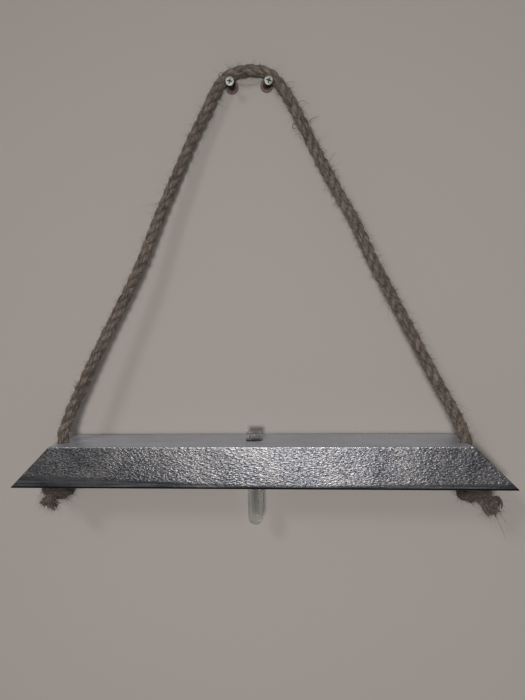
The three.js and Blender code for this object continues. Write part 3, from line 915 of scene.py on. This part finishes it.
def loose_yarn(rng, route, share, frames, strand, yarn):
    """The route and the rings of one yarn of an unlaid strand.

    Nine yarns lie round the strand's outside and four inside. Each winds about the strand's route, further
    out towards its end, sways by noise, and stops somewhere in the last third. Its tip is thinner.
    """
    inner = yarn >= OUTER_YARNS
    angle = yarn * 2 * np.pi / (INNER_YARNS if inner else OUTER_YARNS) + 1.6 * share
    spread = (0.35 if inner else 1.0) * rng.uniform(0.85, 1.15)
    ring = spread * (0.0022 + 0.0021 * share**1.2)
    seed = 40 + yarn + 20 * strand
    noise = [lattice_noise(route + 0.37 * (yarn + 1) + axis, 0.0042, seed) for axis in range(3)]
    sway = 0.0016 * share[:, None] * np.stack(noise, axis=1)
    facing = np.cos(angle)[:, None] * frames[1] + np.sin(angle)[:, None] * frames[2]
    middle = (route + ring[:, None] * facing + sway)[: int(len(route) * rng.uniform(0.7, 1.0))]
    travelled = np.linalg.norm(np.diff(middle, axis=0), axis=1).sum()
    middle, _ = smooth_route(middle, travelled / (YARN_RINGS - 1))
    middle = middle[:YARN_RINGS] if len(middle) >= YARN_RINGS else np.vstack([middle, middle[-1:]])
    way = np.linspace(0, 1, len(middle))
    thick = rng.uniform(0.0008, 0.00105) * (1 - 0.15 * way) * (1 - smooth_step((way - 0.9) / 0.1) * 0.6)
    return middle, tube_rings(middle, steady_frames(middle), thick, 10)


def frayed_end(side, shape, settings):
    """Unlaid strands below a knot: each strand of the rope runs on as loose yarns, and these as fibres."""
    rng = np.random.default_rng(5 if side == "left" else 6)
    end, order = (0, -1.0) if side == "left" else (-1, 1.0)
    before, last = knot_points(side)[-2:]
    start = last + unit(last - before) * 0.3 * MM
    tables = [beside(start, side, table) for table in FRAYED[side]]
    ends = shape.centres[:, end]
    ways_on = shape.along[:, end] * order
    yarn_rings, roots, ways = [], [], []
    for strand, pick in enumerate(strand_order(ends, tables)):
        points = np.vstack([ends[strand] - ways_on[strand] * 0.002, ends[strand], tables[pick][2:]])
        route, stations = smooth_route(points, 0.0005)
        route, stations = smooth_route(route, stations[-1] / 40)
        frames = steady_frames(route)
        for yarn in range(OUTER_YARNS + INNER_YARNS):
            middle, rings = loose_yarn(rng, route, stations / stations[-1], frames, strand, yarn)
            yarn_rings.append(rings)
            picks = rng.integers(4, len(middle) - 1, YARN_FIBRES)
            roots.append(middle[picks])
            ways.append(unit(np.gradient(middle, axis=0))[picks])
    rings = np.stack(yarn_rings)
    points, faces, uv = capped_tubes(rings, np.linspace(0, 0.6, rings.shape[1]))
    yarns = make_mesh("frayed_yarns_" + side, points, faces, uv)
    tones = rng.uniform(-0.1, 0.45, len(rings))
    mark(yarns, "crown", np.broadcast_to(tones[:, None, None], rings.shape[:3]))
    dress(yarns, jute_finish("jute_frayed_" + side, settings, 9.0), "shelf", "jute", "frayed_end_" + side)
    roots, ways = np.vstack(roots), np.vstack(ways)
    count = len(roots)
    directions = unit(ways + rng.normal(0, 0.7, (count, 3)))
    lengths = rng.uniform(0.0015, 0.0072, count)
    bends = rng.normal(0, 0.8, (count, 3)) - np.array([0, 0, 0.15])
    rings = hair_rings(roots, directions, lengths, bends, rng.uniform(0.00006, 0.00014, count), 6)
    fluff = fibre_piece("frayed_fibres_" + side, rings, rng.uniform(0.0, 0.75, count))
    dress(fluff, fibre_finish(settings), "shelf", "jute")
    return yarns, fluff


class SHELF_OT_rope(bpy.types.Operator):
    """Make the rope, knotted at both ends, with its stray fibres"""

    bl_idname = "rope_shelf.rope"
    bl_label = "Rope"

    def execute(self, context):
        settings = context.scene.shelf_rope
        shape = RopeShape(settings)
        rings, clear = rope_rings(shape, settings.yarns)
        points, faces, uv = capped_tubes(rings, shape.stations / shape.pitch)
        rope = make_mesh("rope", points, faces, uv)
        # The crown mark carries the rope's painted light and shade
        mark(rope, "crown", clear)
        dress(rope, jute_finish("jute", settings), "shelf", "jute", "rope_hanger", "knot_left", "knot_right")
        fibres = [rope_hairs(shape, settings.hairs), rope_fuzz(shape, settings.fuzz), stray_fibres()]
        finish = fibre_finish(settings)
        for piece in fibres:
            dress(piece, finish, "shelf", "jute")
        for side in SIDES:
            fibres += frayed_end(side, shape, settings)
        return {"FINISHED"}


# Beam


def beam_section(settings):
    """The section's outline, from the front's top edge down and round: points and outward directions.

    Its corners are rounded, and the front and top have more points than the back and bottom.
    """
    (front, foot), (back, top) = BEAM_LOW[1:], BEAM_HIGH[1:]
    r, worn = settings.arris, settings.worn_arris
    corners = [
        (front + worn, foot + worn, worn, 180), (back - r, foot + r, r, 270),
        (back - r, top - r, r, 0), (front + r, top - r, r, 90),
    ]
    steps = [0.0021, 0.0030, 0.0018, 0.0008]
    places, ways = [], []
    for (y, z, radius, start), step, following in zip(corners, steps, corners[1:] + corners[:1]):
        angle = np.radians(start + np.linspace(0, 90, 5))
        way = np.stack([np.cos(angle), np.sin(angle)], axis=1)
        places.append(np.array([y, z]) + radius * way)
        ways.append(way)
        leave = places[-1][-1]
        arrive = np.array(following[:2]) + following[2] * way[-1]
        count = int(np.ceil(np.linalg.norm(arrive - leave) / step))
        inner = np.linspace(0, 1, count + 1)[1:-1, None]
        places.append(leave + (arrive - leave) * inner)
        ways.append(np.repeat(way[-1:], count - 1, axis=0))
    return np.vstack(places), np.vstack(ways)


def beam_relief(points, ways, settings):
    """How far the surface stands out.

    The front is wrinkled: two sizes of noise stretched along the beam, with a crest where their folds meet.
    The other sides are calmer sawn timber, and the ends show the saw.
    """
    front = smooth_step(-ways[..., 1] * 1.2 - 0.1)
    ends = smooth_step(np.abs(ways[..., 0]) * 2 - 0.6)
    stretched = points * np.array([0.4, 1.0, 1.0])
    slanted = stretched + np.array([0.0, 0.0, 0.3]) * points[..., :1]
    warp = lattice_noise(points, 0.006, 6)[..., None] * np.array([0.0005, 0.0, 0.0010])
    fold = 1 - np.abs(lattice_noise(slanted + warp, 0.0022, 1)) * 2
    fine = lattice_noise(stretched + warp, 0.0017, 2)
    broad = lattice_noise(points * np.array([0.12, 1.0, 1.0]), 0.009, 4)
    sawn = lattice_noise(points * np.array([1.0, 0.25, 0.05]), 0.0022, 5)
    calm = 0.2 * broad + 0.07 * fine
    rough = 0.55 * fold + 0.5 * fine + 0.25 * broad
    strip = 0.0016 + 0.008 * smooth_step(-points[..., 0] / 0.21) + 0.001 * lattice_noise(points, 0.05, 7)
    band = smooth_step((points[..., 2] - BEAM_LOW[2] - strip) / 0.0025)
    height = calm + (rough - calm) * front * (0.12 + 0.88 * band)
    return settings.relief * (height * (1 - ends) + 0.4 * sawn * ends - 0.35)


def mirrored(end, body, sign=1):
    """One number for each ring of the beam: the left end's, the body's, and the right end's."""
    return np.concatenate([sign * end[::-1], body, end])


def beam_points(settings):
    """Rings of the beam's surface, from the middle of its left end to the middle of its right end.

    Each ring is the section's outline: slanted with the mitres, drawn in over the rounded edges, and then
    closing towards the middle of an end.
    """
    outline, ways = beam_section(settings)
    half, bottom = float(BEAM_HIGH[0] - BEAM_LOW[0]) / 2, float(BEAM_LOW[2])
    middle = (BEAM_LOW[1:] + BEAM_HIGH[1:]) / 2
    body = np.linspace(-1, 1, int(2 * half / settings.grid))
    rounding = np.radians(np.linspace(0, 90, 5))[1:]
    closing = np.linspace(1, 0.02, 16)[1:]
    turn = np.concatenate([rounding, np.full(len(closing), np.pi / 2)])
    inset = mirrored(settings.arris * (1 - np.cos(turn)), np.zeros(len(body)))
    back = mirrored(settings.arris * (1 - np.sin(turn)), np.full(len(body), settings.arris))
    size = mirrored(np.concatenate([np.ones(len(rounding)), closing]), np.ones(len(body)))
    side = mirrored(np.ones(len(turn)), body, -1)
    tilt = mirrored(np.sin(turn), np.zeros(len(body)), -1)
    places = outline[None] - ways[None] * inset[:, None, None]
    places = middle + (places - middle) * size[:, None, None]
    reach = half - back[:, None] - (places[..., 1] - bottom)
    x = BEAM_CENTRE_X + side[:, None] * reach
    points = np.concatenate([x[..., None], places], axis=-1)
    slope = math.sqrt(0.5)
    flat = np.concatenate([np.zeros((len(ways), 1)), ways], axis=1)
    ends = np.sign(tilt)[:, None, None] * np.array([slope, 0.0, 0.0]) + np.array([0.0, 0.0, slope])
    level = np.sqrt(1 - tilt**2)[:, None, None]
    normals = unit(flat[None] * level + ends * np.abs(tilt)[:, None, None] + 1e-9)
    return points + normals * beam_relief(points, normals, settings)[..., None]


def hole_cutter(place, radius, ease=0.0):
    """A closed upright bar that widens at 45 degrees above the beam's top, less the ease."""
    low, high = float(BEAM_LOW[2]) - 0.004, float(BEAM_HIGH[2]) + 0.003
    profile = [(radius, low), (radius, high)]
    if ease:
        rim = float(BEAM_HIGH[2]) - ease
        profile = [(radius, low), (radius, rim), (radius + high - rim, high)]
    rings = turned(np.array(profile), 64) + np.array([place[0], place[1], 0])
    points, faces, _ = capped_tubes(rings[None])
    return make_mesh("cutter", points, faces)


class SHELF_OT_beam(bpy.types.Operator):
    """Make the painted timber beam with its three holes"""

    bl_idname = "rope_shelf.beam"
    bl_label = "Beam"

    def execute(self, context):
        settings = context.scene.shelf_beam
        points, faces, _ = capped_tubes(beam_points(settings)[None])
        beam = make_mesh("beam", points, faces)
        rope_holes = [hole_cutter(place, ROPE_HOLE_RADIUS) for place in (LEFT_HOLE, RIGHT_HOLE)]
        bore(beam, [*rope_holes, hole_cutter(TUBE_AXIS, TUBE_HOLE_RADIUS, TUBE_HOLE_EASE)])
        dress(beam, paint_finish(settings), "shelf", "beam_paint", "shelf_beam")
        return {"FINISHED"}


# Test tube


def tube_profile(settings, length, ridge):
    """The tube's section: up its outside, over the lowest ridge and the lip, and down its inside."""
    outer, wall = settings.diameter / 2, settings.wall
    neck = np.linspace(ridge + 0.0005, length - 0.0021, 64)
    return np.vstack([
        arc((0, outer), (outer, outer), -89.5, 0, 28),
        sampled([(outer, outer + 0.001), (outer, ridge - 0.0006)], 0.003),
        arc((outer, ridge), (0.0009, 0.0005), -90, 90, 9),
        np.stack([np.full(len(neck), outer), neck], axis=1)[1:],
        arc((outer, length - 0.001), (0.0009, 0.001), -90, 60, 10),
        arc((outer - 0.0004, length - 0.0009), (0.0009, 0.0009), 75, 130, 6),
        arc((outer - wall + 0.0006, length - 0.0014), (0.0006, 0.0011), 115, 180, 7),
        sampled([(outer - wall, length - 0.003), (outer - wall, outer + 0.001)], 0.003),
        arc((0, outer), (outer - wall, outer - wall), 0, -89.5, 26),
    ])


def neck_thread(profile, settings, ridge, columns):
    """How far the neck stands out: one bead that winds up it twice and fades at both ends."""
    outer, pitch = settings.diameter / 2, settings.thread_pitch
    start, bead_height = ridge + 0.0008, 0.0008
    turn = np.arange(columns) / columns
    place = (profile[:, 1:2] - start - pitch * turn[None]) / pitch
    nearest = np.clip(np.round(place), 0, 1)
    along = (nearest + turn[None]) / 2
    fade = smooth_step(along / 0.1) * smooth_step((1 - along) / 0.12)
    bead = np.sqrt(np.clip(1 - ((place - nearest) / 0.3) ** 2, 0, 1)) * fade
    outside = (np.abs(profile[:, 0:1] - outer) < 1e-7) & (profile[:, 1:2] > ridge + 0.0004)
    return np.where(outside, bead * bead_height, 0)


class SHELF_OT_tube(bpy.types.Operator):
    """Make the glass test tube"""

    bl_idname = "rope_shelf.tube"
    bl_label = "Test tube"

    def execute(self, context):
        settings = context.scene.shelf_tube
        columns = 96
        length = float(TUBE_HIGH[2] - TUBE_LOW[2])
        ridge_from_top = 0.0081
        ridge = length - ridge_from_top
        profile = tube_profile(settings, length, ridge)
        swell = neck_thread(profile, settings, ridge, columns)
        rings = turned(profile, columns)
        rings[..., :2] *= (1 + swell / (settings.diameter / 2))[..., None]
        rings += np.array([*TUBE_AXIS, TUBE_LOW[2]])
        points, faces, uv = capped_tubes(rings[None])
        tube = make_mesh("tube", points, faces, uv)
        dress(tube, glass_finish(settings), "tube", "glass", "test_tube")
        return {"FINISHED"}


# Screws and wall plugs


def on_wall(rings, x, droop, lean):
    """Carries a piece that is turned about the upright axis to the wall.

    Its height becomes the way into the wall. It is turned down by the droop, then sideways by the lean.
    """
    laid = np.stack([rings[..., 0], rings[..., 2], -rings[..., 1]], axis=-1)
    tilt = Matrix.Rotation(math.radians(droop), 3, "X") @ Matrix.Rotation(math.radians(lean), 3, "Z")
    return laid @ np.array(tilt).T + np.array([x, 0, 0])


# Where each screw and its plug enter the wall, and their droop and lean in degrees
WALL_PLACES = {"left": (-SCREW_X, 6.0, 0.0), "right": (SCREW_X, 10.0, 10.0)}


def screw_rings(settings):
    """A countersunk screw: the turned body, with a thread ridge that winds up its lower part."""
    face, shank, crest = SCREW_FACE, 0.0019, 0.0025
    cone, thread, tip = face + 0.0037, face + 0.018, face + 0.050
    profile = np.vstack([
        sampled([(0.0002, face - 0.0002), (0.0038, face - 0.0001)], 0.0006),
        arc((0.0040, face + 0.0007), (0.0008, 0.0008), -84, 0, 7),
        sampled([(0.0047, face + 0.0010), (shank + 0.0002, cone - 0.0002), (shank, cone + 0.0004)], 0.0008),
        sampled([(shank, cone + 0.001), (shank, thread - 0.0005)], 0.002),
        sampled([(shank, thread), (shank * 0.94, tip - 0.006), (0.0003, tip - 0.0001)], 0.0002),
    ])
    columns = 48
    rings = turned(profile, columns)
    turn = np.arange(columns) / columns
    height = profile[:, 1:2]
    phase = (height - thread) / settings.thread_pitch - turn[None]
    saw = np.abs(phase - np.round(phase)) * settings.thread_pitch
    ridge = np.clip(1 - saw / 0.00055, 0, 1) * (crest - shank)
    swell = ridge * smooth_step((height - thread) / 0.002) * smooth_step((tip - height) / 0.006)
    rings[..., :2] *= (1 + swell / np.maximum(profile[:, 0:1], 0.0002))[..., None]
    return rings


def recess_cutter(turn):
    """One arm of the cross recess: a slot that narrows to its floor, as a closed four-sided bar."""
    levels = np.array([(-0.001, 0.00305), (0.0, 0.0027), (0.0022, 0.0013), (0.0026, 0.00095)])
    width = np.array([0.00072, 0.00065, 0.00055, 0.0004])
    corners = np.array([(1, -1), (1, 1), (-1, 1), (-1, -1)])
    span = levels[:, 1:2] * corners[None, :, 0]
    across = width[:, None] * corners[None, :, 1]
    rings = np.stack([span, across, (SCREW_FACE + levels[:, 0:1]) + 0 * span], axis=-1)
    c, s = math.cos(turn), math.sin(turn)
    return rings @ np.array([[c, s, 0], [-s, c, 0], [0, 0, 1]])


def slit_cutter():
    """The slit across a plug's point, as a closed flat bar."""
    slit = np.array([(-0.0075, -0.0007), (0.0075, -0.0007), (0.0075, 0.0007), (-0.0075, 0.0007)])
    return np.stack([np.column_stack([slit, np.full(4, depth)]) for depth in (0.016, 0.038)])


def plug_surface(x, droop, lean):
    """A wall plug: rounded collar, ribbed body with four shallow grooves, and a bore for the screw."""
    collar, body, hole = 0.007, 0.0043, 0.0028
    ribs = []
    for rib in range(5):
        start = 0.006 + 0.005 * rib
        ribs += [(body, start), (body + 0.0006, start + 0.0005)]
        ribs += [(body + 0.0006, start + 0.0009), (body, start + 0.0026)]
    profile = np.vstack([
        sampled([(hole - 0.0007, 0.0008), (hole + 0.0017, -0.0018)], 0.0006),
        sampled([(hole + 0.0019, -0.002), (collar - 0.0009, -0.002)], 0.001),
        arc((collar - 0.0008, -0.0012), (0.0008, 0.0008), -80, 0, 6),
        sampled([(collar, -0.001), (collar, -0.0001)], 0.0005),
        sampled([(collar - 0.0002, 0.0), (body + 0.0002, 0.0)], 0.0012),
        np.array([(body, 0.0003)]),
        sampled([*ribs, (body, 0.031), (0.0035, 0.0358)], 0.0012),
        sampled([(0.0034, 0.036), (hole + 0.0001, 0.036)], 0.0004),
        sampled([(hole, 0.0355), (hole, 0.0018), (hole - 0.0007, 0.0012)], 0.002),
    ])
    columns = 64
    rings = turned(profile, columns)
    angle = np.arange(columns) / columns * 2 * np.pi
    groove = smooth_step((np.cos(4 * angle) - 0.72) / 0.28) * 0.00055
    grooved = ((profile[:, 0] > 0.0040) & (profile[:, 1] > 0.001))[:, None]
    rings[..., :2] *= (1 - np.where(grooved, groove[None], 0) / np.maximum(profile[:, 0:1], 0.001))[..., None]
    faces = ring_faces(len(profile) + 1, columns) % (len(profile) * columns)
    return on_wall(rings, x, droop, lean).reshape(-1, 3), [faces]


class SHELF_OT_fixings(bpy.types.Operator):
    """Make the two screws and their wall plugs"""

    bl_idname = "rope_shelf.fixings"
    bl_label = "Screws and plugs"

    def execute(self, context):
        settings = context.scene.shelf_fixings
        zinc, plastic = zinc_finish(settings), plastic_finish(settings)
        for side, place in WALL_PLACES.items():
            points, faces, _ = capped_tubes(on_wall(screw_rings(settings), *place)[None])
            screw = make_mesh("screw_and_thread_" + side, points, faces)
            self.cut(screw, [recess_cutter(turn) for turn in (0.3, 0.3 + math.pi / 2)], place)
            dress(screw, zinc, "wall_fixings", "zinc", "screw_" + side)
            plug = make_mesh("plug_" + side, *plug_surface(*place))
            self.cut(plug, [slit_cutter()], place)
            dress(plug, plastic, "wall_fixings", "brown_plastic", "wall_plug_" + side)
        return {"FINISHED"}

    def cut(self, piece, bars, place):
        """Takes closed bars with flat sides out of a piece, carried to the wall with it."""
        cutters = []
        for bar in bars:
            points, faces, _ = capped_tubes(on_wall(bar, *place)[None])
            cutters.append(make_mesh("cutter", points, faces, smooth=False))
        bore(piece, cutters)


# Stage


class SHELF_OT_stage(bpy.types.Operator):
    """Make the camera, the lamps, the floor and the wall"""

    bl_idname = "rope_shelf.stage"
    bl_label = "Stage"

    def execute(self, context):
        settings, scene = context.scene.shelf_stage, context.scene
        scene.camera = self.camera()
        self.lamp("key_lamp", (-1.1, -1.95, 0.95), (0.0, 0.0, -0.25), 0.5, settings.key_power)
        self.lamp("front_lamp", (0.03, -1.1, -0.35), (0.0, 0.0, -0.3), 0.17, settings.front_power)
        world = bpy.data.worlds.new("surround")
        world.use_nodes = True
        surround = world.node_tree.nodes["Background"]
        surround.inputs["Color"].default_value = (0.96, 0.98, 1.0, 1)
        surround.inputs["Strength"].default_value = settings.sky
        scene.world = world
        scene.view_settings.view_transform = "Standard"
        reach, low, high, wall = 4, -1.15, 3, 0.0012
        floor = [(-reach, -reach, low), (reach, -reach, low), (reach, reach, low), (-reach, reach, low)]
        self.sheet("floor", floor, self.floor_finish(settings))
        upright = [(-reach, wall, low), (reach, wall, low), (reach, wall, high), (-reach, wall, high)]
        self.sheet("wall", upright, self.wall_finish(settings))
        return {"FINISHED"}

    def camera(self):
        """The camera that took the photograph, as solved from the beam's corners."""
        yaw, pitch, roll = -0.07963, -0.02158, -0.01725
        place = Vector((0.05514, -0.57371, -0.27495))
        focal_length, frame_height = 522.406, 700
        forward = Vector((math.sin(yaw) * math.cos(pitch), math.cos(yaw) * math.cos(pitch), math.sin(pitch)))
        level = Vector((math.cos(yaw), -math.sin(yaw), 0))
        upright = level.cross(forward)
        right = math.cos(roll) * level + math.sin(roll) * upright
        up = math.cos(roll) * upright - math.sin(roll) * level
        data = bpy.data.cameras.new("camera")
        data.sensor_width = 36.0
        data.lens = focal_length / frame_height * data.sensor_width
        data.clip_start = 0.01
        camera = bpy.data.objects.new("camera", data)
        turn = Matrix((right, up, -forward)).transposed()
        camera.matrix_world = Matrix.Translation(place) @ turn.to_4x4()
        bpy.context.scene.collection.objects.link(camera)
        return camera

    def lamp(self, name, place, target, size, power):
        """A round soft lamp turned to a target."""
        data = bpy.data.lights.new(name, "AREA")
        data.shape = "DISK"
        data.size = size
        data.energy = power
        lamp = bpy.data.objects.new(name, data)
        lamp.location = place
        lamp.rotation_euler = (Vector(target) - Vector(place)).to_track_quat("-Z", "Y").to_euler()
        bpy.context.scene.collection.objects.link(lamp)

    def sheet(self, name, corners, finish):
        """One flat face of the stage."""
        sheet = make_mesh(name, np.array(corners, dtype=float), [np.array([[0, 1, 2, 3]])], smooth=False)
        sheet.data.materials.append(finish)

    def floor_finish(self, settings):
        """Plain pale floor."""
        finish = Finish("floor")
        cloud = finish.noise(finish.place(), 1.5, 2.0)
        colour = finish.blend(cloud, shade(settings.floor, 0.96), settings.floor)
        return finish.surface(Base_Color=colour, Roughness=0.9)

    def wall_finish(self, settings):
        """Painted wall that is seen from the room only.

        It lets the surround through from behind, and to what lies within 3 mm of it, so no back is black.
        """
        finish = Finish("wall")
        cloud = finish.noise(finish.place(), 2.2, 2.0)
        colour = finish.blend(cloud, shade(settings.wall, 0.97), settings.wall)
        paint = finish.node("ShaderNodeBsdfDiffuse", None, {"Color": colour, "Roughness": 0.6})
        clear = finish.node("ShaderNodeBsdfTransparent")
        behind = finish.node("ShaderNodeNewGeometry", output="Backfacing")
        close = finish.span(finish.node("ShaderNodeLightPath", output="Ray Length"), 0.003, 0.0029)
        return finish.end(finish.node("ShaderNodeMixShader", None, {0: behind + close, 1: paint, 2: clear}))


class SHELF_PT_panel(bpy.types.Panel):
    """Sizes, colours and steps of the hanging rope shelf"""

    bl_idname = "SHELF_PT_panel"
    bl_label = "Hanging rope shelf"
    bl_space_type = "VIEW_3D"
    bl_region_type = "UI"
    bl_category = "Rope shelf"

    def draw(self, context):
        layout = self.layout
        for group, (attribute, title, steps) in PANEL_ROWS.items():
            box = layout.box()
            box.label(text=title)
            for step in steps:
                box.operator(step.bl_idname)
            settings = getattr(context.scene, attribute)
            for name in group.__annotations__:
                box.prop(settings, name)


PANEL_ROWS = {
    StageSettings: ("shelf_stage", "Stage", [SHELF_OT_stage]),
    RopeSettings: ("shelf_rope", "Rope", [SHELF_OT_rope]),
    BeamSettings: ("shelf_beam", "Beam", [SHELF_OT_beam]),
    TubeSettings: ("shelf_tube", "Test tube", [SHELF_OT_tube]),
    FixingSettings: ("shelf_fixings", "Screws and plugs", [SHELF_OT_fixings]),
}


def register():
    """Registers the classes and hangs the settings on the scene."""
    for group, (attribute, _, steps) in PANEL_ROWS.items():
        bpy.utils.register_class(group)
        setattr(bpy.types.Scene, attribute, bpy.props.PointerProperty(type=group))
        for step in steps:
            bpy.utils.register_class(step)
    bpy.utils.register_class(SHELF_PT_panel)


def unregister():
    """Takes everything that register() added away again."""
    bpy.utils.unregister_class(SHELF_PT_panel)
    for group, (attribute, _, steps) in reversed(PANEL_ROWS.items()):
        for step in steps:
            bpy.utils.unregister_class(step)
        delattr(bpy.types.Scene, attribute)
        bpy.utils.unregister_class(group)


def main():
    """Makes the stage and every piece."""
    register()
    bpy.ops.rope_shelf.stage()
    bpy.ops.rope_shelf.rope()
    bpy.ops.rope_shelf.beam()
    bpy.ops.rope_shelf.tube()
    bpy.ops.rope_shelf.fixings()


if __name__ == "__main__":
    main()
